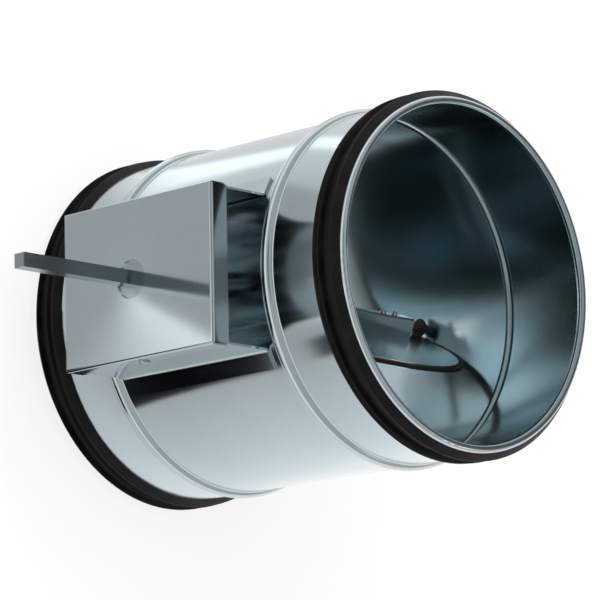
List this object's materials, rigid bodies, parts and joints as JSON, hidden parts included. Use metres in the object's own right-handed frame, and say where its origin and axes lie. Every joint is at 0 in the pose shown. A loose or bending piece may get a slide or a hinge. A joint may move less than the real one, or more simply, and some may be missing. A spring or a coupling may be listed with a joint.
{
  "type": "duct shut-off damper",
  "caption": "Round duct shut-off damper: tube with rubber-sealed ends, a turning disc blade, a square drive shaft and an actuator bracket.",
  "frame": {"origin": "on the duct's axis in the plane of the lower rim, the end away from the camera", "axes": "+Z along the duct's axis to the upper rim, -Y along the drive shaft's free end, square to the actuator face"},
  "size_m": [0.207, 0.3207, 0.2475],
  "materials": {
    "galvanised_steel": "zinc-coated sheet, nearly mirror bright, faintly cloudy",
    "zinc_plated_steel": "satin zinc plating",
    "seal_rubber": "matt black, smooth",
    "blade_rubber": "matt black, smooth",
    "bearing_plastic": "matt black moulded plastic"
  },
  "bodies": {
    "casing_body": {"casing": "galvanised_steel", "lower_seal": "seal_rubber", "upper_seal": "seal_rubber", "bracket_saddle": "galvanised_steel", "bracket_cover": "galvanised_steel", "cover_rivets": "zinc_plated_steel", "drive_wall_bush": "bearing_plastic", "shaft_ring": "seal_rubber", "far_wall_bush": "bearing_plastic"},
    "blade_body": {"shaft_bush": "zinc_plated_steel", "bush_grub_screw": "zinc_plated_steel", "drive_shaft": "zinc_plated_steel", "far_pivot_pin": "bearing_plastic", "drive_thrust_washer": "bearing_plastic", "far_thrust_washer": "bearing_plastic", "blade_front_sheet": "galvanised_steel", "blade_rubber": "blade_rubber", "blade_back_sheet": "galvanised_steel", "clamp_strip": "galvanised_steel", "strip_screws": "zinc_plated_steel"}
  },
  "joints": [
    {"name": "blade_turn", "type": "hinge", "parent": "casing_body", "child": "blade_body", "pos_m": [0, 0, 0.118], "axis": [0, 1, 0], "range_deg": [-25, 65]}
  ]
}
